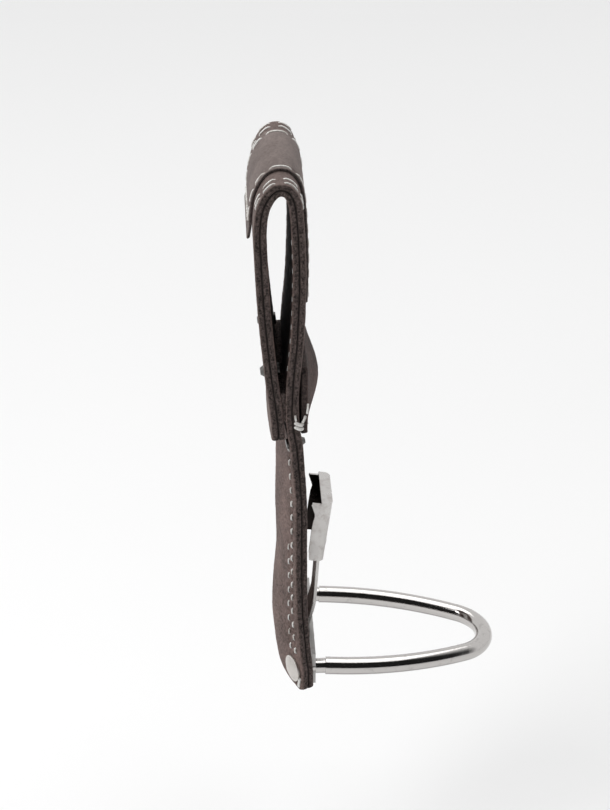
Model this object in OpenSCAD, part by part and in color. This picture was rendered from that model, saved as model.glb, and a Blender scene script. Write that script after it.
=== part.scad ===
// Leather hammer holder for a belt. The holder hangs upright: +Z up, +Y toward the wearer,
// -Y to the front where the ring sticks out, X along the belt. The origin is inside the belt slot.

/* [Strap] */
// Width of the strap along the belt
strap_w = 76; // [70:0.5:84]
// Thickness of each leather layer
leather_t = 2.8; // [2.4:0.1:3]
// How far the middle of the lower body stands behind its edges
body_arch = 8.8; // [7:0.2:9.2]
// Corner radius at the bottom of the body
corner_r = 3.5; // [3:0.5:10]

/* [Saddle] */
// Thickness of the smooth saddle over the belt loop
saddle_t = 1.4; // [1.2:0.1:2.6]
// Width of the saddle
saddle_w = 47; // [40:1:56]

/* [Bumper] */
// Height of the padded core under the bumper cover
bumper_h = 7.8; // [5:0.2:8.6]
// Thickness of the bumper cover
bumper_t = 2.8; // [2:0.1:3]

/* [Ring] */
// Diameter of the ring rod
ring_d = 8; // [6:0.5:9]
// Distance between the ring ends, centre to centre
ring_span = 61; // [58:0.5:63]
// How far the rod's centre line reaches in front of its shoulders
ring_reach = 76; // [70:1:84]
// Droop of the ring's front, in degrees
ring_droop = 3.3; // [0:0.1:4]
// Diameter of the domed heads behind the body
ring_head_d = 12.4; // [11:0.2:13]

/* [Clip] */
// Width of the spring clip
clip_w = 29; // [24:1:34]
// Gauge of the clip's spring steel
clip_t = 1.3; // [1:0.1:1.5]

/* [Thread] */
// Thread diameter
thread_d = 1.1; // [0.8:0.1:1.3]
// Length of one stitch
stitch_l = 6.8; // [6:0.1:8]

/* [Hidden] */
$fn = 64;
hw = strap_w / 2;
// The frame's origin is the middle of the belt slot; shapes are drawn from the bottom edge.
slot_y = 10.8;
slot_z = 203;
module place() {
    translate([0, -slot_y, -slot_z]) children();
}
t = leather_t;
gap = 0.15;

// Middle line of the strap between its two layers: [y, z, arch]. It runs up the front,
// over the belt and down the back. Arch is how far the middle stands behind the edges.
a8 = body_arch;
front_line = [
    [-0.45, 0, 1.12 * a8], [-0.5, 6.5, 1.24 * a8], [-0.3, 12, 1.28 * a8], [0.7, 22.5, 1.27 * a8],
    [1.65, 33.5, 1.13 * a8], [2.25, 44, 0.97 * a8], [2.5, 55, 0.83 * a8], [2.5, 68, 0.84 * a8],
    [2.5, 80, 0.87 * a8], [2.6, 97, 0.82 * a8], [3.2, 108, 0.74 * a8], [3.9, 117, 0.56 * a8],
    [4.5, 125, 0.38 * a8], [5.5, 131.5, 0.26 * a8], [6.3, 138, 0.16 * a8], [6.5, 145, 0.1 * a8],
    [6.3, 152, 0.07 * a8], [5.5, 162, 0.04 * a8], [4.3, 175, 0.02 * a8], [3.6, 190, 0],
    [3.3, 207, 0], [3.8, 222, 0]];
top_line = [
    [4.15, 228, 0], [4.65, 233.8, 0], [5.4, 237.8, 0], [6.72, 240.7, 0], [8.4, 242.4, 0],
    [10.7, 243, 0], [13, 242.4, 0], [14.7, 240.9, 0], [16.3, 238.7, 0], [17.8, 235.6, 0],
    [18.8, 231.8, 0], [19.35, 227, 0]];
back_line = [
    [19.5, 222, 0], [19.1, 210, 0], [18.4, 195, 0], [17.5, 182, 0], [16.4, 170, 0.02 * a8],
    [14.95, 156, 0.05 * a8], [13.5, 144.5, 0.08 * a8], [12.75, 137, 0.12 * a8], [12.25, 128, 0.18 * a8]];
knots = concat(front_line, top_line, back_line);

// Smooth curve through the knots, then tables against the length along it.
function spline(a, b, c, d, f) = 0.5 * (2 * b + (c - a) * f + (2 * a - 5 * b + 4 * c - d) * f * f
    + (3 * b - a - 3 * c + d) * f * f * f);
last = len(knots) - 1;
function knot(i) = knots[min(max(i, 0), last)];
line = concat([for (i = [0 : last - 1], k = [0 : 3])
    spline(knot(i - 1), knot(i), knot(i + 1), knot(i + 2), k / 4)], [knots[last]]);
ends = len(line) - 1;
function flat(p) = [p[0], p[1]];
function lengths(i = 0, sum = 0) = i == ends ? [sum]
    : concat([sum], lengths(i + 1, sum + norm(flat(line[i + 1]) - flat(line[i]))));
run = lengths();
total = run[ends];
function slope(i) = let (v = flat(line[min(i + 1, ends)]) - flat(line[max(i - 1, 0)])) v / norm(v);
y_of = [for (i = [0 : ends]) [run[i], line[i][0]]];
z_of = [for (i = [0 : ends]) [run[i], line[i][1]]];
arch_of = [for (i = [0 : ends]) [run[i], line[i][2]]];
ny_of = [for (i = [0 : ends]) [run[i], -slope(i)[1]]];
nz_of = [for (i = [0 : ends]) [run[i], slope(i)[0]]];

// A point on the strap: x across, s along the middle line, o out from it.
function at(x, s, o) = [
    x,
    lookup(s, y_of) + o * lookup(s, ny_of) + lookup(s, arch_of) * (1 - pow(x / hw, 2)),
    lookup(s, z_of) + o * lookup(s, nz_of)];

// Length along the line at a height, on the front leg and on the back leg.
front_s = [for (i = [0 : 4 * 21]) [line[i][1], run[i]]];
back_from = ends - 4 * 9;
back_s = [for (i = [ends : -1 : back_from]) [line[i][1], run[i]]];
function front_at(z) = lookup(z, front_s);
function back_at(z) = lookup(z, back_s);

arc_from = front_at(222);
arc_to = back_at(222);
stations = concat(
    [for (i = [0 : 40]) arc_from * i / 41],
    [for (i = [0 : 35]) arc_from + (arc_to - arc_from) * i / 36],
    [for (i = [0 : 18]) arc_to + (total - arc_to) * i / 18]);
columns = [-1, -0.95, -0.82, -0.55, -0.2, 0.2, 0.55, 0.82, 0.95, 1] * hw;

// Closed solid between two grids of points with the same rows and columns.
module slab(a, b) {
    rows = len(a);
    cols = len(a[0]);
    n = rows * cols;
    function id(i, j, k) = k * n + i * cols + j;
    skin = [for (i = [0 : rows - 2], j = [0 : cols - 2], k = [0, 1])
        let (p = id(i, j, k), q = id(i, j + 1, k), r = id(i + 1, j + 1, k), s = id(i + 1, j, k))
        each k == 0 ? [[p, q, r], [p, r, s]] : [[p, r, q], [p, s, r]]];
    rim_i = [for (j = [0 : cols - 2], i = [0, rows - 1])
        let (p = id(i, j, 0), q = id(i, j + 1, 0), r = id(i, j + 1, 1), s = id(i, j, 1))
        each i > 0 ? [[p, q, r], [p, r, s]] : [[p, r, q], [p, s, r]]];
    rim_j = [for (i = [0 : rows - 2], j = [0, cols - 1])
        let (p = id(i, j, 0), q = id(i + 1, j, 0), r = id(i + 1, j, 1), s = id(i, j, 1))
        each j == 0 ? [[p, q, r], [p, r, s]] : [[p, r, q], [p, s, r]]];
    polyhedron(points = concat([for (r = a) each r], [for (r = b) each r]),
        faces = concat(skin, rim_i, rim_j), convexity = 6);
}

// Rounded bottom corners: the strap's ends start a little later near its edges.
function ease(x, r) = let (d = abs(x) - (hw - r)) d <= 0 ? 0 : r - sqrt(max(0, r * r - d * d));
function strap_s(x, s) = s < 20 ? ease(x, corner_r) + s * (20 - ease(x, corner_r)) / 20
    : s > total - 20 ? total - ease(x, 3) - (total - s) * (20 - ease(x, 3)) / 20 : s;
module strap_layer(lo, hi) {
    slab([for (s = stations) [for (x = columns) at(x, strap_s(x, s), hi)]],
        [for (s = stations) [for (x = columns) at(x, strap_s(x, s), lo)]]);
}

module rod(a, b, d) {
    v = b - a;
    translate(a) rotate([0, acos(v[2] / norm(v)), atan2(v[1], v[0])]) cylinder(d = d, h = norm(v));
}

// Stitches along the strap at one distance across it, on one face.
module stitch_run(x, s0, s1, o) {
    n = round((s1 - s0) / stitch_l);
    d = (s1 - s0) / n;
    for (i = [0 : n - 1]) rod(at(x, s0 + d * (i + 0.14), o), at(x, s0 + d * (i + 0.86), o), thread_d);
}

// Stitches across the strap at one place along it.
module stitch_cross(x0, x1, s, o) {
    n = round((x1 - x0) / stitch_l);
    d = (x1 - x0) / n;
    for (i = [0 : n - 1]) rod(at(x0 + d * (i + 0.14), s, o), at(x0 + d * (i + 0.86), s, o), thread_d);
}

module both_sides() {
    children();
    mirror([1, 0, 0]) children();
}

// Fasteners stand square to the strap: a frame at a point on its middle line, +Z outward.
module on_strap(x, s) {
    tilt = atan2(lookup(s, nz_of), -lookup(s, ny_of));
    turn = -atan(2 * lookup(s, arch_of) * x / (hw * hw));
    translate(at(x, s, 0)) rotate([90 - tilt, 0, turn]) children();
}

// Fasteners
ring_z = 9.2;
ring_x = ring_span / 2;
ring_s = front_at(ring_z);
neck_d = 6.8;
tenon_d = 5.4;
shoulder_y = -8.4;
tenon_y = at(ring_x, ring_s, -t)[1] + 0.8;
rivet_d = 2.6;
loop_rivet_x = 26;
loop_rivet_s = back_at(157);
front_rivet_x = 33.5;
front_rivet_s = front_at(126);

module ring_holes() {
    both_sides() translate([ring_x, -20, ring_z]) rotate([-90, 0, 0])
        cylinder(d = tenon_d + 0.1, h = 45);
}
module loop_holes(d = rivet_d) {
    for (m = [-1, 1]) on_strap(m * loop_rivet_x, loop_rivet_s)
        translate([0, 0, -10]) cylinder(d = d, h = 20);
}
module front_holes(d = rivet_d) {
    for (m = [-1, 1]) on_strap(m * front_rivet_x, front_rivet_s)
        translate([0, 0, -5]) cylinder(d = d, h = 12);
}

module strap_outer() {
    place() color([0.27, 0.23, 0.22]) difference() {
        strap_layer(0, t);
        ring_holes();
        loop_holes();
        front_holes();
    }
}

module strap_lining() {
    place() color([0.45, 0.39, 0.37]) difference() {
        strap_layer(-t, 0);
        ring_holes();
        loop_holes();
        front_holes();
    }
}

// Wedge that fills the bottom of the belt loop, between the two legs.
wedge_z0 = 139.5;
wedge_z1 = 151;
module loop_wedge() {
    xs = columns * 0.97;
    place() color([0.3, 0.26, 0.24]) slab(
        [for (k = [0 : 4]) let (z = wedge_z0 + (wedge_z1 - wedge_z0) * k / 4)
            [for (x = xs) at(x, front_at(z), -t - gap)]],
        [for (k = [0 : 4]) let (z = wedge_z0 + (wedge_z1 - wedge_z0) * k / 4)
            [for (x = xs) at(x, back_at(z), -t - gap)]]);
}

// Saddle: its back end springs a little off the strap, past the row of stitches across it.
saddle_s0 = front_at(187);
saddle_s1 = back_at(216.5);
saddle_cross_s = back_at(223);
saddle_rows = 60;
saddle_lo = t + gap;
function lift(s) = s < saddle_cross_s ? 0 : 1.2 * pow((s - saddle_cross_s) / (saddle_s1 - saddle_cross_s), 1.5);
module saddle() {
    xs = [-1, -0.5, 0, 0.5, 1] * saddle_w / 2;
    ss = [for (i = [0 : saddle_rows]) saddle_s0 + (saddle_s1 - saddle_s0) * i / saddle_rows];
    place() color([0.52, 0.48, 0.46]) slab(
        [for (s = ss) [for (x = xs) at(x, s, saddle_lo + lift(s) + saddle_t)]],
        [for (s = ss) [for (x = xs) at(x, s, saddle_lo + lift(s))]]);
}

// Bumper
bump_z0 = 130.5;
bump_z1 = 162.5;
bump_s0 = front_at(bump_z0);
bump_s1 = front_at(bump_z1);
bump_rows = 16;
bump_x = [for (i = [-8 : 8]) hw * 0.985 * i / 8];
function dome(x, s) = let (v = (s - bump_s0) / (bump_s1 - bump_s0))
    v <= 0 || v >= 1 ? 0 : pow(sin(180 * pow(v, 0.87)), 1.3) * (0.1 + 0.9 * pow(cos(90 * x / hw), 1.1));
module bumper_cover() {
    place() color([0.36, 0.3, 0.29]) slab(
        [for (i = [0 : bump_rows]) let (s = bump_s0 + (bump_s1 - bump_s0) * i / bump_rows)
            [for (x = bump_x) at(x, s, t + gap + bumper_h * dome(x, s) + bumper_t)]],
        [for (i = [0 : bump_rows]) let (s = bump_s0 + (bump_s1 - bump_s0) * i / bump_rows)
            [for (x = bump_x) at(x, s, t + gap + bumper_h * dome(x, s))]]);
}
module bumper_core() {
    rows = 10;
    s0 = bump_s0 + (bump_s1 - bump_s0) * 0.14;
    s1 = bump_s0 + (bump_s1 - bump_s0) * 0.86;
    place() color([0.2, 0.18, 0.17]) slab(
        [for (i = [0 : rows]) let (s = s0 + (s1 - s0) * i / rows)
            [for (x = bump_x * 0.84) at(x, s, t + gap + bumper_h * dome(x, s) * 0.94 - 0.4)]],
        [for (i = [0 : rows]) let (s = s0 + (s1 - s0) * i / rows)
            [for (x = bump_x * 0.84) at(x, s, t + gap)]]);
}

// Ring
side_r = 140;
leg_l = 5;
q_reach = ring_reach - leg_l;
q = (pow(side_r - ring_x, 2) + pow(side_r - q_reach, 2)) / (2 * (side_r - q_reach));
nose_r = side_r - q;
side_a = asin((q_reach - side_r + q) / q);
module ring() {
    place() color([0.75, 0.75, 0.76]) {
        both_sides() translate([ring_x, 0, ring_z]) rotate([-90, 0, 0]) {
            translate([0, 0, shoulder_y]) cylinder(d = tenon_d, h = tenon_y - shoulder_y);
            translate([0, 0, shoulder_y]) cylinder(d = neck_d, h = plate_y - 0.05 - shoulder_y);
        }
        translate([0, shoulder_y, ring_z]) rotate([ring_droop, 0, 0]) {
            both_sides() translate([ring_x, -leg_l, 0]) rotate([-90, 0, 0])
                cylinder(d = ring_d, h = leg_l);
            both_sides() translate([ring_x - side_r, -leg_l, 0]) rotate([0, 0, -side_a])
                rotate_extrude(angle = side_a) translate([side_r, 0]) circle(d = ring_d);
            translate([0, nose_r - ring_reach, 0]) rotate([0, 0, 180 + side_a])
                rotate_extrude(angle = 180 - 2 * side_a) translate([nose_r, 0]) circle(d = ring_d);
        }
    }
}

// Domed heads set over the ring's tenons on the back of the body.
module ring_heads() {
    place() color([0.7, 0.69, 0.67]) both_sides() difference() {
        on_strap(ring_x, ring_s) rotate([180, 0, 0]) translate([0, 0, t + 0.1]) {
            cylinder(d = ring_head_d, h = 0.8);
            translate([0, 0, 0.8]) intersection() {
                cylinder(d = ring_head_d, h = 2);
                translate([0, 0, -7.6]) sphere(r = 9.4);
            }
        }
        translate([ring_x, -20, ring_z]) rotate([-90, 0, 0])
            cylinder(d = tenon_d + 0.02, h = 20 + tenon_y + 0.02);
    }
}

// Base plate and clip
plate_y = -3.9;
plate_t = 1.8;
plate_w = 66;
plate_z0 = 1.5;
plate_z1 = 17;
module base_plate() {
    place() color([0.6, 0.6, 0.6]) difference() {
        translate([-plate_w / 2, plate_y, plate_z0]) cube([plate_w, plate_t, plate_z1 - plate_z0]);
        ring_holes();
        foot_rivet_holes();
    }
}

// The spring strip is one piece: its foot is riveted flat behind the plate, and its blade
// bends forward above the plate.
foot_y = plate_y + plate_t + 0.05;
root_z = plate_z1 + 0.4;
foot_z0 = 3;
module foot_rivet_holes(d = 3) {
    for (x = [-5, 5]) translate([x, -12, 8]) rotate([-90, 0, 0]) cylinder(d = d, h = 16);
}

tongue_w = 18;
lean = 8;
shell_y = -8.2;
shell_z0 = 54.5;
shell_h = 29.6;
shell_r = 3;
tongue_end = 66;
module clip_foot() {
    place() color([0.62, 0.62, 0.61]) difference() {
        translate([-tongue_w / 2, foot_y, foot_z0]) cube([tongue_w, clip_t, root_z - 0.3 - foot_z0]);
        foot_rivet_holes();
    }
}

// Side view of the blade: [y of its front face, z].
front_y = shell_y + clip_t + 0.05;
blade = [[foot_y, root_z], [foot_y - 0.75, root_z + 3], [foot_y - 2, root_z + 7.2], [-5.05, 29],
    [-5.5, 34], [front_y, shell_z0], [front_y - (tongue_end - shell_z0) * tan(lean), tongue_end]];
module clip_tongue() {
    n = len(blade) - 1;
    place() color([0.62, 0.62, 0.61]) difference() {
        translate([-tongue_w / 2, 0, 0]) rotate([90, 0, 90]) linear_extrude(tongue_w)
            polygon(concat(blade, [for (i = [n : -1 : 0]) blade[i] + [clip_t, 0]]));
        clip_rivet_holes();
    }
}

module in_clip() {
    translate([0, shell_y, shell_z0]) rotate([lean, 0, 0]) children();
}
module clip_rivet_holes(d = 2.4) {
    for (x = [-5, 5]) in_clip() translate([x, -3, 6]) rotate([-90, 0, 0]) cylinder(d = d, h = 12);
}

// Side view of the shell: deep at the bottom, a notch below the ear at the top.
module shell_side() {
    polygon([[-1, 0], [6.6, 0], [7.3, 4], [7.6, 14], [7.5, 20], [7.1, 22.4], [7.4, 24], [9.4, 28.4],
        [9, 29], [-1, 29]]);
}
module rounded_u(r, d) {
    w = clip_w / 2 - shell_r;
    hull() {
        for (x = [-w, w]) translate([x, shell_r]) circle(r = r);
        translate([-w - r, d]) square([2 * (w + r), 1]);
    }
}
module clip_shell() {
    place() color([0.78, 0.77, 0.76]) difference() {
        in_clip() {
            intersection() {
                linear_extrude(shell_h) difference() {
                    rounded_u(shell_r, 11);
                    rounded_u(shell_r - clip_t, 14);
                }
                translate([-clip_w, 0, 0]) rotate([90, 0, 90]) linear_extrude(2 * clip_w) shell_side();
            }
            translate([0, 0, shell_h - 0.7]) linear_extrude(clip_t) intersection() {
                rounded_u(shell_r, 11);
                translate([-clip_w, -1]) square([2 * clip_w, 6.1]);
            }
        }
        clip_rivet_holes();
    }
}
module clip_rivets() {
    place() color([0.5, 0.5, 0.5]) for (x = [-5, 5]) in_clip() translate([x, 0, 6]) {
        translate([0, -0.02, 0]) rotate([-90, 0, 0]) cylinder(d = 2.38, h = 3.2);
        translate([0, -0.02, 0]) rotate([90, 0, 0]) cylinder(d = 4.4, h = 0.7);
    }
}
module plate_rivets() {
    place() color([0.5, 0.5, 0.5]) for (x = [-5, 5]) translate([x, 0, 8]) rotate([-90, 0, 0]) {
        translate([0, 0, plate_y - 0.1]) cylinder(d = 2.98, h = plate_t + clip_t + 0.3);
        translate([0, 0, plate_y - 0.62]) cylinder(d1 = 3.4, d2 = 4.8, h = 0.6);
        translate([0, 0, foot_y + clip_t + 0.02]) cylinder(d = 4.6, h = 0.8);
    }
}

// Leather rivets
module rivet(x, s, head) {
    on_strap(x, s) {
        translate([0, 0, -t - 0.9]) cylinder(d = rivet_d - 0.02, h = 2 * t + 1.4);
        translate([0, 0, t + 0.15]) cylinder(d1 = head, d2 = head * 0.6, h = 1.5);
        translate([0, 0, -t - 1.05]) cylinder(d = head * 1.1, h = 0.9);
    }
}
module loop_rivets() {
    place() color([0.35, 0.34, 0.33]) for (m = [-1, 1]) rivet(m * loop_rivet_x, loop_rivet_s, 5);
}
module front_rivets() {
    place() color([0.25, 0.25, 0.25]) for (m = [-1, 1]) rivet(m * front_rivet_x, front_rivet_s, 4);
}

// Threads
face = t + 0.35;
edge_x = hw - 4.2;
module edge_thread() {
    place() color([0.92, 0.91, 0.88]) both_sides() for (o = [-face, face])
        stitch_run(edge_x, front_at(17.5), front_at(120), o);
}
module inner_thread() {
    place() color([0.92, 0.91, 0.88]) both_sides() for (o = [-face, face])
        stitch_run(hw - 8, front_at(17.5), front_at(72), o);
}
module leg_thread() {
    place() color([0.92, 0.91, 0.88]) both_sides() stitch_run(edge_x, front_at(160), front_at(224), -face);
}

// Two short rows over the top of the loop on each side of the saddle.
module rim_thread() {
    place() color([0.92, 0.91, 0.88]) both_sides() for (x = [hw - 1.7, hw - 6.6])
        stitch_run(x, front_at(222) + 11, back_at(222) - 11, face);
}
saddle_face = saddle_lo + saddle_t + 0.35;
module saddle_thread() {
    x = saddle_w / 2 - 2.6;
    place() color([0.92, 0.91, 0.88]) {
        both_sides() stitch_run(x, saddle_s0 + 3, saddle_cross_s - 1.4, saddle_face);
        stitch_cross(-x, x, saddle_cross_s, saddle_face);
        stitch_cross(-x, x, saddle_s0 + 1.6, saddle_face);
    }
}
bump_row_s = front_at(133);
function bump_row(x) = at(x, bump_row_s, t + gap + bumper_t + bumper_h * dome(x, bump_row_s) + 0.4);
module bumper_thread() {
    y0 = at(hw, front_at(135), t + bumper_t)[1];
    n = round((strap_w - 8) / stitch_l);
    d = (strap_w - 8) / n;
    place() color([0.92, 0.91, 0.88]) {
        for (i = [0 : n - 1])
            rod(bump_row(4 - hw + d * (i + 0.14)), bump_row(4 - hw + d * (i + 0.86)), thread_d);
        both_sides() for (z = [134.4, 136.2])
            rod([hw + 0.2, y0 + 2, z], [hw + 0.2, at(hw, front_at(135), -0.6)[1], z + 0.6], 1.4);
    }
}

strap_outer();
strap_lining();
loop_wedge();
saddle();
bumper_cover();
bumper_core();
ring();
ring_heads();
base_plate();
plate_rivets();
clip_foot();
clip_tongue();
clip_shell();
clip_rivets();
loop_rivets();
front_rivets();
edge_thread();
inner_thread();
leg_thread();
rim_thread();
saddle_thread();
bumper_thread();
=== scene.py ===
import math

import bmesh
import bpy
import numpy as np
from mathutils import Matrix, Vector, noise


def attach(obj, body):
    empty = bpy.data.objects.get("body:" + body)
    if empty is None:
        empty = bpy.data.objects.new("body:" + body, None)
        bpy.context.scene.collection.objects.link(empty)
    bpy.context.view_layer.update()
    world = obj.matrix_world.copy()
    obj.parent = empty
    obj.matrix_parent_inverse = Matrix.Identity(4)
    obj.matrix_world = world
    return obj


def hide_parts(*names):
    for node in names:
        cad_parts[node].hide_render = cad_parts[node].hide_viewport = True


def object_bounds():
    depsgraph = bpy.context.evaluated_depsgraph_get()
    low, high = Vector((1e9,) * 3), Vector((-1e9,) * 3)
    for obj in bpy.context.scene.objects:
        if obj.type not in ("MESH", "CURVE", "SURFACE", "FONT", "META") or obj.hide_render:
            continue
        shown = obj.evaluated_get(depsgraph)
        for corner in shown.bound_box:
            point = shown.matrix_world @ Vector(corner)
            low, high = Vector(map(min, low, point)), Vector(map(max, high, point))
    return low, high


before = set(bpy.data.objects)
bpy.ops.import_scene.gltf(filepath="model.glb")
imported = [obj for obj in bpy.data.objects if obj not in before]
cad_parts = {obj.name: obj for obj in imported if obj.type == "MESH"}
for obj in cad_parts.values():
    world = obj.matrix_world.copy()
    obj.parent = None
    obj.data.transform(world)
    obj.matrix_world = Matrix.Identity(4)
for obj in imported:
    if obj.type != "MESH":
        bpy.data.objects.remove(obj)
cad_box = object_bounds()

# Sizes are in millimetres above the bottom edge of the body, as in the CAD, until to_world().
MM = 0.001
ORIGIN = np.array([0.0, 10.8, 203.0])
HALF_W = 38.0
LEATHER = 2.8
ARCH = 8.8
GAP = 0.15
SADDLE_T = 1.4
SADDLE_W = 47.0
BUMPER_T = 2.8
BUMPER_H = 7.8
rng = np.random.RandomState(11)


def to_world(p):
    return (np.asarray(p, float) - ORIGIN) * MM


# ---------------------------------------------------------------- the strap's path

FRONT = [
    (-0.45, 0, 1.12), (-0.5, 6.5, 1.24), (-0.3, 12, 1.28), (0.7, 22.5, 1.27), (1.65, 33.5, 1.13),
    (2.25, 44, 0.97), (2.5, 55, 0.83), (2.5, 68, 0.84), (2.5, 80, 0.87), (2.6, 97, 0.82), (3.2, 108, 0.74),
    (3.9, 117, 0.56), (4.5, 125, 0.38), (5.5, 131.5, 0.26), (6.3, 138, 0.16), (6.5, 145, 0.1),
    (6.3, 152, 0.07), (5.5, 162, 0.04), (4.3, 175, 0.02), (3.6, 190, 0), (3.3, 207, 0), (3.8, 222, 0)]
TOP = [
    (4.15, 228, 0), (4.65, 233.8, 0), (5.4, 237.8, 0), (6.72, 240.7, 0), (8.4, 242.4, 0), (10.7, 243, 0),
    (13, 242.4, 0), (14.7, 240.9, 0), (16.3, 238.7, 0), (17.8, 235.6, 0), (18.8, 231.8, 0), (19.35, 227, 0)]
BACK = [
    (19.5, 222, 0), (19.1, 210, 0), (18.4, 195, 0), (17.5, 182, 0), (16.4, 170, 0.02), (14.95, 156, 0.05),
    (13.5, 144.5, 0.08), (12.75, 137, 0.12), (12.25, 128, 0.18)]
KNOTS = np.array(FRONT + TOP + BACK) * [1, 1, ARCH]
SUB = 12


def spline_line():
    pts = []
    last = len(KNOTS) - 1
    for i in range(last):
        a, b, c, d = (KNOTS[min(max(i + k, 0), last)] for k in (-1, 0, 1, 2))
        for k in range(SUB):
            f = k / SUB
            pts.append(0.5 * (2 * b + (c - a) * f + (2 * a - 5 * b + 4 * c - d) * f * f
                              + (3 * b - a - 3 * c + d) * f ** 3))
    pts.append(KNOTS[last])
    return np.array(pts)


LINE = spline_line()
RUN = np.concatenate([[0], np.cumsum(np.hypot(*np.diff(LINE[:, :2], axis=0).T))])
SLOPE = np.gradient(LINE, RUN, axis=0)
TOTAL = RUN[-1]
N_FRONT = (len(FRONT) - 1) * SUB
N_BACK = len(BACK) * SUB


def front_at(z):
    return np.interp(z, LINE[:N_FRONT + 1, 1], RUN[:N_FRONT + 1])


def back_at(z):
    return np.interp(z, LINE[-N_BACK:, 1][::-1], RUN[-N_BACK:][::-1])


def at(x, s, o):
    """Points on the strap: x across, s along its middle line, o out from it (true normal)."""
    x, s, o = np.broadcast_arrays(np.asarray(x, float), s, o)
    y, z, a = (np.interp(s, RUN, LINE[:, k]) for k in range(3))
    dy, dz, da = (np.interp(s, RUN, SLOPE[:, k]) for k in range(3))
    w = 1 - (x / HALF_W) ** 2
    tx = np.stack([np.ones_like(x), -2 * a * x / HALF_W ** 2, np.zeros_like(x)], -1)
    ts = np.stack([np.zeros_like(x), dy + da * w, dz], -1)
    n = np.cross(tx, ts)
    n /= np.linalg.norm(n, axis=-1, keepdims=True)
    return np.stack([x, y + a * w, z], -1) + o[..., None] * n


def smooth_noise(p, scale, seed=0.0):
    """Repeatable noise in -1..1 at points p, in mm."""
    off = Vector((seed, seed * 1.7, -seed))
    return np.array([noise.noise(Vector(q) / scale + off) for q in np.asarray(p).reshape(-1, 3)]) \
        .reshape(np.asarray(p).shape[:-1])


# ---------------------------------------------------------------- materials

class Nodes:
    """A short way to wire a procedural material in object space."""

    def __init__(self, name):
        self.mat = bpy.data.materials.new(name)
        self.mat.use_nodes = True
        self.tree = self.mat.node_tree
        self.bsdf = self.tree.nodes["Principled BSDF"]
        coord = self.tree.nodes.new("ShaderNodeTexCoord")
        self.where = coord.outputs["Object"]

    def node(self, kind, **inputs):
        n = self.tree.nodes.new(kind)
        for k, v in inputs.items():
            self.put(n.inputs[k.replace("_", " ")], v)
        return n

    def put(self, socket, v):
        if isinstance(v, bpy.types.NodeSocket):
            self.tree.links.new(v, socket)
        else:
            socket.default_value = v

    def noise(self, scale, detail=4.0, rough=0.6, stretch=None):
        where = self.where
        if stretch:
            m = self.node("ShaderNodeMapping", Vector=self.where)
            m.inputs["Scale"].default_value = stretch
            where = m.outputs[0]
        return self.node("ShaderNodeTexNoise", Vector=where, Scale=scale, Detail=detail,
                         Roughness=rough).outputs["Fac"]

    def cells(self, scale, feature="F1"):
        n = self.node("ShaderNodeTexVoronoi", Vector=self.where, Scale=scale)
        n.feature = feature
        return n.outputs["Distance"]

    def ramp(self, fac, *stops):
        n = self.node("ShaderNodeValToRGB", Fac=fac)
        while len(n.color_ramp.elements) < len(stops):
            n.color_ramp.elements.new(0.5)
        for e, (pos, col) in zip(n.color_ramp.elements, stops):
            e.position = pos
            e.color = (*col, 1) if len(col) == 3 else (col[0], col[0], col[0], 1)
        return n.outputs["Color"]

    def math(self, op, a, b=0.0):
        n = self.tree.nodes.new("ShaderNodeMath")
        n.operation = op
        self.put(n.inputs[0], a)
        self.put(n.inputs[1], b)
        return n.outputs[0]

    def mix(self, fac, a, b):
        n = self.tree.nodes.new("ShaderNodeMix")
        n.data_type = "RGBA"
        self.put(n.inputs["Factor"], fac)
        for sock, v in ((n.inputs[6], a), (n.inputs[7], b)):
            self.put(sock, v if isinstance(v, bpy.types.NodeSocket) else (*v, 1))
        return n.outputs[2]

    def attr(self, name):
        n = self.tree.nodes.new("ShaderNodeAttribute")
        n.attribute_name = name
        return n.outputs["Fac"]

    def bump(self, height, strength, distance, normal=None):
        n = self.node("ShaderNodeBump", Height=height, Strength=strength, Distance=distance)
        if normal is not None:
            self.put(n.inputs["Normal"], normal)
        return n.outputs[0]

    def finish(self, color, rough, normal=None, **fixed):
        self.put(self.bsdf.inputs["Base Color"], color)
        self.put(self.bsdf.inputs["Roughness"], rough)
        if normal is not None:
            self.put(self.bsdf.inputs["Normal"], normal)
        for k, v in fixed.items():
            self.bsdf.inputs[k.replace("_", " ")].default_value = v
        return self.mat


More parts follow.
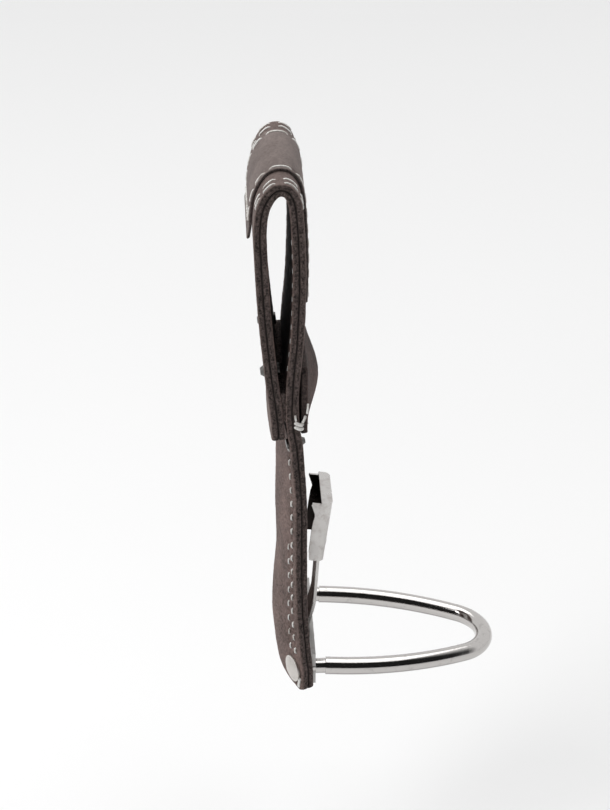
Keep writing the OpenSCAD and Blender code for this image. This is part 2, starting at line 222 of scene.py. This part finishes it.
def leather(name, face_dark, face_light, back_dark, back_light, edge_dark, edge_light, grain=0.5):
    """Leather with a grain face, a napped back and a raw cut edge, told apart by mesh attributes."""
    k = Nodes(name)
    broad = k.noise(55, 5, 0.6)
    fine = k.noise(800, 5, 0.75)
    speck = k.noise(950, 4, 0.75)
    pores = k.cells(850)
    fibre = k.noise(560, 6, 0.85, (1, 1, 0.5))
    tone = k.math("ADD", k.math("MULTIPLY", broad, 0.45), k.math("MULTIPLY", fine, 0.55))
    face = k.ramp(tone, (0.39, face_dark), (0.61, face_light))
    nap = k.math("ADD", k.math("MULTIPLY", broad, 0.3), k.math("MULTIPLY", speck, 0.7))
    back = k.ramp(nap, (0.41, back_dark), (0.59, back_light))
    raw = k.math("ADD", k.math("MULTIPLY", fibre, 0.45), k.math("MULTIPLY", speck, 0.55))
    edge = k.ramp(raw, (0.42, edge_dark), (0.60, edge_light))
    color = k.mix(k.attr("side"), back, face)
    color = k.mix(k.attr("edge"), color, edge)
    wear = k.math("MULTIPLY", k.attr("wear"), k.math("MULTIPLY", fine, 0.4))
    color = k.mix(wear, color, tuple(min(1, c * 1.6) for c in face_light))
    # Painted shade: the dark attribute darkens the seam groove between layers and the inside of the belt
    # loop.
    color = k.mix(k.math("MULTIPLY", k.attr("dark"), 0.9), color, tuple(c * 0.12 for c in edge_dark))
    height = k.math("ADD", k.math("MULTIPLY", pores, 0.5 * grain), k.math("MULTIPLY", fine, 0.8))
    n1 = k.bump(height, 0.6, 0.0004)
    n2 = k.bump(raw, k.math("ADD", k.math("MULTIPLY", k.attr("edge"), 0.7), 0.25), 0.0008, n1)
    rough = k.ramp(fine, (0.3, (0.78,)), (0.75, (0.94,)))
    return k.finish(color, rough, n2, Specular_IOR_Level=0.16, Sheen_Weight=0.04)


def metal(name, base, rough_lo, rough_hi, scratch=0.3, brush=None, dirt=(0.12, 0.10, 0.09), dirty=0.25,
          under=0.0):
    """Plated steel with soiled spots; under paints shade and dark reflection on the faces that look down.
    """
    k = Nodes(name)
    broad = k.noise(70, 4, 0.6)
    fine = k.noise(1500, 4, 0.7, brush or (1, 1, 1))
    spots = k.ramp(k.noise(240, 6, 0.75), (0.56, (0.0,)), (0.74, (1.0,)))
    color = k.mix(k.math("MULTIPLY", spots, dirty), base, dirt)
    color = k.mix(k.math("MULTIPLY", broad, 0.25), color, tuple(c * 0.75 for c in base))
    # Painted shade and dark reflection on the faces that look down.
    if under:
        facing = k.node("ShaderNodeSeparateXYZ", Vector=k.node("ShaderNodeNewGeometry").outputs["Normal"])
        down = k.ramp(k.math("MULTIPLY", facing.outputs["Z"], -1.0), (0.35, (0.0,)), (0.72, (under,)))
        color = k.mix(down, color, (0.05, 0.042, 0.038))
    rough = k.ramp(k.math("ADD", k.math("MULTIPLY", broad, 0.5), k.math("MULTIPLY", fine, 0.5)),
                   (0.3, (rough_lo,)), (0.72, (rough_hi,)))
    n = k.bump(fine, scratch, 0.00006)
    return k.finish(color, rough, n, Metallic=1.0)


CUT_EDGE = ((0.018, 0.0135, 0.012), (0.165, 0.126, 0.116))
M_OUTER = leather("strap_grain", (0.075, 0.055, 0.050), (0.190, 0.143, 0.130),
                  (0.095, 0.068, 0.061), (0.180, 0.134, 0.120), *CUT_EDGE)
M_LINING = leather("strap_suede", (0.050, 0.038, 0.034), (0.110, 0.088, 0.080),
                   (0.056, 0.039, 0.034), (0.215, 0.150, 0.134), *CUT_EDGE)
M_SADDLE = leather("saddle_smooth", (0.115, 0.092, 0.085), (0.222, 0.182, 0.169),
                   (0.100, 0.076, 0.070), (0.180, 0.138, 0.126),
                   (0.030, 0.025, 0.024), (0.150, 0.125, 0.118), grain=0.25)
M_BUMPER = leather("bumper_suede", (0.016, 0.0108, 0.0095), (0.106, 0.068, 0.060),
                   (0.050, 0.038, 0.034), (0.100, 0.076, 0.070),
                   (0.018, 0.013, 0.012), (0.100, 0.074, 0.068))


def thread_material():
    k = Nodes("waxed_thread")
    ply = k.node("ShaderNodeTexWave", Vector=k.where, Scale=420.0, Distortion=1.5, Detail=2.0)
    soil = k.noise(180, 5, 0.7)
    color = k.ramp(soil, (0.32, (0.42, 0.38, 0.34)), (0.55, (0.84, 0.83, 0.80)))
    n = k.bump(ply.outputs["Fac"], 0.5, 0.0002)
    return k.finish(color, 0.55, n, Specular_IOR_Level=0.4, Sheen_Weight=0.2)


M_THREAD = thread_material()
# The ring's last argument paints shade and dark reflection on its underside.
M_RING = metal("ring_nickel", (0.56, 0.54, 0.525), 0.06, 0.20, 0.2, None, (0.10, 0.085, 0.075), 0.5, 0.85)
M_HEAD = metal("head_nickel", (0.62, 0.59, 0.56), 0.22, 0.48, 0.4, None, (0.20, 0.17, 0.15), 0.5)
M_PLATE = metal("plate_steel", (0.42, 0.41, 0.40), 0.3, 0.5, 0.4, (1, 1, 0.08), (0.14, 0.11, 0.09), 0.5)
M_CLIP = metal("clip_steel", (0.60, 0.585, 0.57), 0.18, 0.42, 0.5, (0.06, 1, 1), (0.16, 0.11, 0.09), 0.55)


def clip_shell_material():
    """The clip's steel, with painted shade making its inner faces nearly black, told apart by place and
    direction.
    """
    k = Nodes("clip_shell_steel")
    split = k.tree.nodes.new("ShaderNodeSeparateXYZ")
    k.put(split.inputs[0], k.where)
    facing = k.tree.nodes.new("ShaderNodeSeparateXYZ")
    k.put(facing.inputs[0], k.tree.nodes.new("ShaderNodeNewGeometry").outputs["Normal"])
    inward = k.math("MULTIPLY", split.outputs["X"], facing.outputs["X"])
    flank = k.math("LESS_THAN", inward, -0.006)
    behind = k.math("GREATER_THAN", facing.outputs["Y"], 0.6)
    inside = k.math("MAXIMUM", flank, behind)
    spots = k.ramp(k.noise(240, 6, 0.75), (0.5, (0.0,)), (0.72, (1.0,)))
    broad = k.noise(60, 5, 0.7)
    fine = k.noise(1500, 4, 0.7, (0.06, 1, 1))
    color = k.mix(k.math("MULTIPLY", spots, 0.5), (0.60, 0.585, 0.57), (0.20, 0.13, 0.11))
    color = k.mix(k.math("MULTIPLY", broad, 0.4), color, (0.42, 0.40, 0.385))
    # Painted shade: the inner faces are turned nearly black.
    color = k.mix(inside, color, (0.035, 0.03, 0.028))
    rough = k.ramp(broad, (0.3, (0.2,)), (0.72, (0.45,)))
    return k.finish(color, rough, k.bump(fine, 0.5, 0.00006), Metallic=1.0)


M_SHELL = clip_shell_material()
M_RIVET = metal("rivet_dark", (0.16, 0.155, 0.15), 0.28, 0.5, 0.4, None, (0.05, 0.04, 0.04), 0.5)


# ---------------------------------------------------------------- mesh helpers

def make_object(name, verts, faces, mat, body="holder", smooth=True, attrs=None):
    me = bpy.data.meshes.new(name)
    me.from_pydata([tuple(v) for v in to_world(verts)], [], faces)
    me.validate()
    for key, values in (attrs or {}).items():
        a = me.attributes.new(key, "FLOAT", "POINT")
        a.data.foreach_set("value", np.asarray(values, np.float32).ravel())
    if smooth:
        me.polygons.foreach_set("use_smooth", [True] * len(me.polygons))
    me.materials.append(mat)
    ob = bpy.data.objects.new(name, me)
    bpy.context.scene.collection.objects.link(ob)
    bm = bmesh.new()
    bm.from_mesh(me)
    bmesh.ops.recalc_face_normals(bm, faces=bm.faces)
    bm.to_mesh(me)
    bm.free()
    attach(ob, body)
    return ob


def columns_for(half, step, rows):
    """Places across, closer together round the stitch rows."""
    xs = list(np.arange(-half, half + 0.01, 2 * half / round(2 * half / step)))
    for r in rows:
        for d in (-1.4, -0.8, -0.4, 0, 0.4, 0.8, 1.4):
            xs += [r + d, -r - d]
    xs = sorted(x for x in xs if abs(x) <= half)
    keep = [xs[0]]
    for x in xs[1:]:
        if x - keep[-1] > 0.25:
            keep.append(x)
    keep[-1] = half
    return np.array(keep)


def sheet(name, mat, s0, s1, half, lo, hi, rows=(), step=2.5, pitch=0.9, round_r=0.7, rough=0.14,
          dimple_hi=None, dimple_lo=None, seed=0.0, warp=0.25, seam=None, dark=None):
    """A leather piece with rounded, slightly ragged edges. s0, s1 give its ends at each x;
    lo, hi give its two faces as offsets from the middle line; dimples are pressed into the faces."""
    r = round_r
    xs = columns_for(half - r, step, rows)
    turn = np.radians([22.5, 45, 67.5])
    n = len(xs)
    loop_x = np.concatenate([
        xs, half - r + r * np.sin(turn), [half, half], half - r + r * np.sin(turn[::-1]),
        xs[::-1], -(half - r + r * np.sin(turn)), [-half, -half], -(half - r + r * np.sin(turn[::-1]))])
    cut = np.concatenate([
        np.zeros(n), r * (1 - np.cos(turn)), [r, -1], r * (1 - np.cos(turn[::-1])),
        np.zeros(n), r * (1 - np.cos(turn)), [-1, r], r * (1 - np.cos(turn[::-1]))])
    e = 2 * len(turn) + 2
    top = np.concatenate([np.ones(n), np.ones(4), np.zeros(4), np.zeros(n), np.zeros(4), np.ones(4)])
    cut = np.where(cut < 0, r, cut)
    m = len(loop_x)
    a0, a1 = s0(loop_x), s1(loop_x)
    length = float(np.max(a1 - a0))
    main = max(6, int(length / pitch))
    ends = np.radians([0, 30, 60])
    f = np.linspace(0, 1, main)
    rings = [("a", b) for b in ends] + [("m", t) for t in f] + [("b", b) for b in ends[::-1]]
    s_all, keep = [], []
    for kind, v in rings:
        if kind == "a":
            s_all.append(a0 + r * (1 - np.cos(v)))
            keep.append(np.sin(v))
        elif kind == "b":
            s_all.append(a1 - r * (1 - np.cos(v)))
            keep.append(np.sin(v))
        else:
            s_all.append(a0 + r + (a1 - a0 - 2 * r) * v)
            keep.append(1.0)
    s = np.array(s_all)
    keep = np.array(keep)[:, None]
    x = np.broadcast_to(loop_x, s.shape).copy()
    h_lo, h_hi = lo(x, s), hi(x, s)
    press_hi = dimple_hi(x, s) if dimple_hi else 0
    press_lo = dimple_lo(x, s) if dimple_lo else 0
    inset = np.minimum(cut + r * (1 - keep), (h_hi - h_lo) * 0.5)
    o = np.where(top > 0.5, h_hi - inset - press_hi, h_lo + inset + press_lo)
    base = at(x, s, o)
    edge = np.clip(cut / r, 0, 1) * np.ones_like(s)
    edge = np.maximum(edge, 1 - keep)
    wob = smooth_noise(base, 1.6, seed) * rough + smooth_noise(base, 14, seed + 5) * warp * 0.5
    x2 = x + np.sign(x) * wob * (np.abs(x) > half - r - 0.01)
    o2 = o + smooth_noise(base, 2.2, seed + 9) * rough * 0.45 * (1 + edge)
    s2 = s + wob * (keep < 1)
    v = at(x2, s2, o2).reshape(-1, 3)
    ring_count = len(rings)
    faces = []
    idx = np.arange(ring_count * m).reshape(ring_count, m)
    a, b = idx[:-1], idx[1:]
    quads = np.stack([a, np.roll(a, -1, 1), np.roll(b, -1, 1), b], -1).reshape(-1, 4)
    faces += quads.tolist()
    low = lambda j: n + e + (n - 1 - j)
    for ring in (idx[0], idx[-1]):
        for j in range(n - 1):
            faces.append([int(ring[j]), int(ring[j + 1]), int(ring[low(j + 1)]), int(ring[low(j)])])
        faces.append([int(i) for i in ring[n - 1:n + e + 1]])
        faces.append([int(i) for i in np.concatenate([ring[2 * n + e - 1:], ring[:1]])])
    near = np.clip(1 - (half - np.abs(x)) / 2.2, 0, 1)
    side = np.broadcast_to(top, s.shape)
    wear = np.clip(near * (1 - edge), 0, 1)
    shade = np.zeros_like(s)
    # Painted shade: seam darkens the rounded edge where this layer meets the other one, and dark adds a
    # given mask of painted shade.
    if seam is not None:
        shade = ((side > 0.5) == seam) * (cut > r * 0.05) * np.clip(1.15 - cut / r, 0, 1) * (cut < r)
        shade = shade * np.ones_like(s)
    if dark:
        shade = np.maximum(shade, dark(x, s) * ((side > 0.5) == (mat is not M_LINING)))
    return make_object(name, v, faces, mat, attrs={
        "edge": np.clip(edge * 1.4 - 0.2, 0, 1), "side": side, "wear": wear, "dark": shade})


def dents(rows, width=0.9, groove=0.22, hole=0.4):
    """Rows are (x, first, last, stitches): a shallow groove with a deeper hole between stitches."""
    def press(x, s):
        out = np.zeros_like(s)
        for rx, sa, sb, count in rows:
            d = (sb - sa) / count
            on = np.clip((s - sa + 1) / 1.5, 0, 1) * np.clip((sb - s + 1) / 1.5, 0, 1)
            across = np.exp(-((np.abs(x) - rx) / width) ** 2)
            phase = (s - sa) / d
            gap = np.abs(phase - np.round(phase)) * d
            out = np.maximum(out, across * on * (groove + hole * np.exp(-(gap / 0.7) ** 2)))
        return out
    return press


class Thread:
    """Collects stitches as short swollen tubes whose ends dive into the leather."""

    def __init__(self):
        self.verts, self.faces = [], []

    def tube(self, pts, radii, flat=1.0, up=None):
        pts = np.asarray(pts, float)
        k = 8
        t = np.gradient(pts, axis=0)
        t /= np.linalg.norm(t, axis=1, keepdims=True)
        up = np.asarray(up if up is not None else (0.3, 0.5, 0.8), float)
        base = len(self.verts)
        for i, p in enumerate(pts):
            u = up - t[i] * np.dot(up, t[i])
            u /= np.linalg.norm(u)
            w = np.cross(t[i], u)
            for j in range(k):
                a = 2 * math.pi * j / k
                self.verts.append(p + radii[i] * (math.cos(a) * w + math.sin(a) * u * flat))
        for i in range(len(pts) - 1):
            for j in range(k):
                a, b = base + i * k + j, base + i * k + (j + 1) % k
                self.faces.append([a, b, b + k, a + k])
        self.faces.append([base + j for j in range(k)][::-1])
        self.faces.append([base + (len(pts) - 1) * k + j for j in range(k)])

    def stitch(self, xa, sa, xb, sb, o, r=0.5, lift=0.3, dive=0.9):
        """One stitch lying on the face at offset o (negative on the back), from a to b."""
        sign = 1 if o > 0 else -1
        f = np.linspace(0, 1, 11)
        rise = np.clip(np.minimum(f, 1 - f) / 0.16, 0, 1)
        rise = rise * rise * (3 - 2 * rise)
        jx, js = rng.uniform(-0.12, 0.12, 2)
        x = xa + (xb - xa) * f + jx
        s = sa + (sb - sa) * f + js
        h = (np.abs(o) - dive + (dive + r * 0.2 + lift * 0.4) * rise) * sign
        p = at(x, s, h)
        n = at(x[5], s[5], sign * 9.0) - at(x[5], s[5], 0)
        radii = r * (0.8 + 0.2 * rise) * rng.uniform(0.92, 1.06)
        self.tube(p, radii, 0.8, n)

    def row(self, x, sa, sb, o, count, fill=0.5, r=0.5, slant=0.0, **kw):
        d = (sb - sa) / count
        for i in range(count):
            mid = sa + d * (i + 0.5)
            half = d * fill / 2
            self.stitch(x - slant, mid - half, x + slant, mid + half, o, r, **kw)

    def across(self, xa, xb, s, o, count, fill=0.5, r=0.5, slant=0.0, **kw):
        d = (xb - xa) / count
        for i in range(count):
            mid = xa + d * (i + 0.5)
            half = d * fill / 2
            self.stitch(mid - half, s - slant, mid + half, s + slant, o, r, **kw)

    def build(self, name, node):
        ob = make_object(name, np.array(self.verts), self.faces, M_THREAD)
        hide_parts(node)
        return ob


# ---------------------------------------------------------------- strap layers

def ease(x, r):
    d = np.abs(x) - (HALF_W - r)
    return np.where(d <= 0, 0, r - np.sqrt(np.maximum(0, r * r - d * d)))


EDGE_X = HALF_W - 4.2
INNER_X = HALF_W - 8.0
ROW_BODY = (EDGE_X, float(front_at(17.5)), float(front_at(127)), 16)
ROW_INNER = (INNER_X, float(front_at(17.5)), float(front_at(76)), 8)
ROW_LEG = (EDGE_X, float(front_at(158)), float(front_at(228)), 10)

strap_s0 = lambda x: ease(x, 3.5)
strap_s1 = lambda x: TOTAL - ease(x, 3.0)
level = lambda v: (lambda x, s: np.full_like(s, v))


def painted_slot_shade(x, s):
    """Painted shade on the inside of the belt loop, all but its mouth at each side."""
    a, b = float(front_at(150)), float(back_at(146))
    along = np.clip((s - a) / 6, 0, 1) * np.clip((b - s) / 6, 0, 1)
    return along * np.clip((HALF_W - 6 - np.abs(x)) / 10, 0, 1) * 0.85


outer = sheet("strap_outer_leather", M_OUTER, strap_s0, strap_s1, HALF_W, level(0.0), level(LEATHER),
              rows=(EDGE_X, INNER_X), dimple_hi=dents([ROW_BODY, ROW_INNER]), seed=1.0, rough=0.2,
              seam=False)
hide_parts("strap_outer")

# The lining gets painted shade inside the belt loop and along its seam with the outer layer.
lining = sheet("strap_lining_leather", M_LINING, strap_s0, strap_s1, HALF_W, level(-LEATHER), level(0.0),
               rows=(EDGE_X, INNER_X), dimple_lo=dents([ROW_BODY, ROW_INNER, ROW_LEG]), seed=2.0,
               rough=0.2, seam=True, dark=painted_slot_shade)
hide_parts("strap_lining")


def wedge():
    zs = np.linspace(137.5, 151, 12)
    xs = np.linspace(-HALF_W * 0.985, HALF_W * 0.985, 40)
    X, Z = np.meshgrid(xs, zs)
    a = at(X, front_at(Z), np.full_like(X, -LEATHER + 0.05))
    b = at(X, back_at(Z), np.full_like(X, -LEATHER + 0.05))
    b[..., 1] = np.maximum(b[..., 1], a[..., 1] + 0.02)
    n, m = X.shape
    v = np.concatenate([a.reshape(-1, 3), b.reshape(-1, 3)])
    v[:, 0] += np.where(np.abs(v[:, 0]) > 37, np.sign(v[:, 0]) * smooth_noise(v, 1.5, 4.0) * 0.3, 0)
    idx = np.arange(n * m).reshape(n, m)
    faces = []
    for off in (0, n * m):
        q = np.stack([idx[:-1, :-1], idx[:-1, 1:], idx[1:, 1:], idx[1:, :-1]], -1).reshape(-1, 4) + off
        faces += q.tolist()
    rim = np.concatenate([idx[0, :-1], idx[:-1, -1], idx[-1, :0:-1], idx[:0:-1, 0]])
    nxt = np.roll(rim, -1)
    faces += np.stack([rim, nxt, nxt + n * m, rim + n * m], -1).tolist()
    one = np.ones(len(v))
    return make_object("loop_wedge_leather", v, faces, M_OUTER,
                       attrs={"edge": one, "side": one, "wear": one * 0, "dark": one * 0})


piece = wedge()
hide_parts("loop_wedge")

# ---------------------------------------------------------------- saddle

SADDLE_LO = LEATHER + GAP
SADDLE_HI = SADDLE_LO + SADDLE_T
SADDLE_S0, SADDLE_S1 = float(front_at(187)), float(back_at(216.5))
CROSS_S = float(back_at(223))


def lift(s):
    return 1.2 * np.clip((s - CROSS_S) / (SADDLE_S1 - CROSS_S), 0, 1) ** 1.5


SADDLE_ROW = (SADDLE_W / 2 - 2.6, SADDLE_S0 + 2.5, CROSS_S - 0.5, 12)
piece = sheet("saddle_leather", M_SADDLE, lambda x: np.full_like(x, SADDLE_S0),
              lambda x: np.full_like(x, SADDLE_S1), SADDLE_W / 2, lambda x, s: SADDLE_LO + lift(s),
              lambda x, s: SADDLE_HI + lift(s), rows=(SADDLE_ROW[0],), round_r=0.55, rough=0.07,
              dimple_hi=dents([SADDLE_ROW], 1.1, 0.3, 0.3), seed=3.0)
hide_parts("saddle")

# ---------------------------------------------------------------- bumper

BUMP_S0, BUMP_S1 = float(front_at(130.5)), float(front_at(162.5))


def dome(x, s):
    v = np.clip((s - BUMP_S0) / (BUMP_S1 - BUMP_S0), 0, 1)
    across = np.clip(np.cos(np.radians(90 * np.clip(x / HALF_W, -1, 1))), 0, 1)
    return np.clip(np.sin(np.pi * v ** 0.87), 0, 1) ** 1.3 * (0.1 + 0.9 * across ** 1.1)


bumper = sheet("bumper_cover_leather", M_BUMPER, lambda x: np.full_like(x, BUMP_S0) + ease(x, 3.0),
               lambda x: np.full_like(x, BUMP_S1) - ease(x, 4.0), HALF_W * 0.985,
               lambda x, s: LEATHER + GAP + BUMPER_H * dome(x, s) * 0.9,
               lambda x, s: LEATHER + GAP + BUMPER_H * dome(x, s) + BUMPER_T,
               step=1.5, rough=0.24, seed=6.0, seam=False)
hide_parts("bumper_cover")

# ---------------------------------------------------------------- threads

t = Thread()
for m in (-1, 1):
    for o in (-LEATHER, LEATHER):
        t.row(m * ROW_BODY[0], ROW_BODY[1], ROW_BODY[2], o, ROW_BODY[3], 0.44)
    # One thick stitch at each bottom corner, beside the ring's head.
    t.stitch(m * 34.6, 1.2, m * 35.6, 7.0, -LEATHER, 0.75)
t.build("edge_thread_stitches", "edge_thread")

t = Thread()
for m in (-1, 1):
    for o in (-LEATHER, LEATHER):
        t.row(m * ROW_INNER[0], ROW_INNER[1], ROW_INNER[2], o, ROW_INNER[3], 0.42, 0.42)
t.build("inner_thread_stitches", "inner_thread")

t = Thread()
for m in (-1, 1):
    t.row(m * ROW_LEG[0], ROW_LEG[1], ROW_LEG[2], -LEATHER + 0.3, ROW_LEG[3], 0.46, 0.42,
          lift=0.05, dive=0.6)
t.build("leg_thread_stitches", "leg_thread")

RIM_FROM, RIM_TO = float(front_at(222)) + 10.5, float(back_at(222)) - 10.5
t = Thread()
for m in (-1, 1):
    for x in (HALF_W - 1.8, HALF_W - 6.6):
        t.row(m * x, RIM_FROM, RIM_TO, LEATHER, 4, 0.8, 0.48, lift=0.2)
t.build("rim_thread_stitches", "rim_thread")

t = Thread()
for m in (-1, 1):
    t.row(m * SADDLE_ROW[0], SADDLE_ROW[1], SADDLE_ROW[2], SADDLE_HI - 0.25, SADDLE_ROW[3], 0.84, 0.55, 0.1,
          lift=0.1, dive=0.6)
x = SADDLE_ROW[0] - 1.2
for s in (SADDLE_S0 + 1.6, CROSS_S):
    t.across(-x, x, s, SADDLE_HI, 14, 1.1, 0.62, 0.7)
t.build("saddle_thread_stitches", "saddle_thread")

BUMPER_FACE = LEATHER + GAP + BUMPER_T
BUMPER_ROW_S = float(front_at(133))
BUMPER_STITCHES = 10
pitch = (2 * HALF_W - 8) / BUMPER_STITCHES
t = Thread()
for i in range(BUMPER_STITCHES):
    x = 4 - HALF_W + pitch * (i + 0.5)
    face = BUMPER_FACE + BUMPER_H * float(dome(x, BUMPER_ROW_S))
    t.stitch(x - pitch * 0.3, BUMPER_ROW_S, x + pitch * 0.3, BUMPER_ROW_S, face)
# On each side: short stitches as (y, z) to (y, z) and a radius, then two thick wraps.
for m in (-1, 1):
    for y0, z0, y1, z1, r in ((-0.2, 146.2, 0.3, 141.8, 0.45), (1.0, 140.4, 2.2, 137.6, 0.55),
                              (5.3, 141.2, 5.0, 138.2, 0.45)):
        f = np.linspace(0, 1, 9)
        rise = np.sin(np.pi * f) ** 0.5
        pts = np.stack([m * (HALF_W - 0.7 + 1.0 * rise), y0 + (y1 - y0) * f, z0 + (z1 - z0) * f], -1)
        t.tube(pts, [r] * 9, 0.9, (1, 0, 0))
    for z, r in ((136.9, 0.85), (134.9, 0.8)):
        f = np.linspace(0, 1, 13)
        rise = np.sin(np.pi * f) ** 0.4
        pts = np.stack([m * (HALF_W - 1.0 + 1.3 * rise), 5.4 - 3.2 * f, z + 0.5 - 1.0 * f], -1)
        t.tube(pts, [r] * 13, 0.9, (1, 0, 0))
t.build("bumper_thread_stitches", "bumper_thread")

# ---------------------------------------------------------------- metal

for node, mat in {"ring": M_RING, "ring_heads": M_HEAD, "base_plate": M_PLATE, "plate_rivets": M_RIVET,
                  "clip_foot": M_CLIP, "clip_tongue": M_CLIP, "clip_rivets": M_RIVET,
                  "loop_rivets": M_RIVET, "front_rivets": M_RIVET, "clip_shell": M_SHELL,
                  "bumper_core": M_BUMPER}.items():
    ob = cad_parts[node]
    ob.data.materials.clear()
    ob.data.materials.append(mat)

# ---------------------------------------------------------------- stage

FLOOR_HALF = 6
FLOOR_DROP = 0.12
z = cad_box[0].z - FLOOR_DROP
corners = [(a * FLOOR_HALF, b * FLOOR_HALF, z) for a, b in ((-1, -1), (1, -1), (1, 1), (-1, 1))]
floor_me = bpy.data.meshes.new("floor")
floor_me.from_pydata(corners, [], [(0, 1, 2, 3)])
floor = bpy.data.objects.new("floor", floor_me)
bpy.context.scene.collection.objects.link(floor)
k = Nodes("pale_floor")
pale = k.ramp(k.noise(2, 3, 0.5), (0.3, (0.905, 0.905, 0.905)), (0.7, (0.915, 0.915, 0.915)))
floor_me.materials.append(k.finish(pale, 0.9))

# The studio is bright all round but dark on the camera's side, for the ring to reflect.
DARK_SIDE = (-0.87, -0.08, 0.48)
world = bpy.data.worlds.new("studio")
bpy.context.scene.world = world
world.use_nodes = True
tree = world.node_tree
bg = tree.nodes["Background"]
coord = tree.nodes.new("ShaderNodeTexCoord")
facing = tree.nodes.new("ShaderNodeVectorMath")
facing.operation = "DOT_PRODUCT"
facing.inputs[1].default_value = DARK_SIDE
ramp = tree.nodes.new("ShaderNodeValToRGB")
for e, (pos, v) in zip(ramp.color_ramp.elements, ((0.34, 1.0), (0.70, 0.02))):
    e.position = pos
    e.color = (v, v, v, 1)
tree.links.new(coord.outputs["Generated"], facing.inputs[0])
tree.links.new(facing.outputs["Value"], ramp.inputs["Fac"])
tree.links.new(ramp.outputs["Color"], bg.inputs["Color"])
bg.inputs["Strength"].default_value = 0.9


def area(name, where, look, size, power):
    data = bpy.data.lights.new(name, "AREA")
    data.shape = "RECTANGLE"
    data.size, data.size_y = size
    data.energy = power
    ob = bpy.data.objects.new(name, data)
    ob.location = where
    ob.rotation_mode = "QUATERNION"
    ob.rotation_quaternion = (Vector(look) - Vector(where)).to_track_quat("-Z", "Y")
    bpy.context.scene.collection.objects.link(ob)


area("key", (-0.45, 0.85, 0.9), (0, 0, -0.08), (0.6, 0.6), 6)
area("top", (0.4, 0, 3.2), (0, 0, 0), (3.2, 3.2), 56)

# ---------------------------------------------------------------- camera

az, el, dist = math.radians(-92.5), math.radians(27.0), 0.956
target = Vector((0, -0.0113, -0.0763))
back = Vector((math.sin(az) * math.cos(el), -math.cos(az) * math.cos(el), math.sin(el)))
cam_data = bpy.data.cameras.new("camera")
cam_data.lens = 96
cam = bpy.data.objects.new("camera", cam_data)
cam.location = target + back * dist
cam.rotation_mode = "QUATERNION"
cam.rotation_quaternion = (-back).to_track_quat("-Z", "Y")
bpy.context.scene.collection.objects.link(cam)
bpy.context.scene.camera = cam
bpy.context.scene.view_settings.view_transform = "Standard"
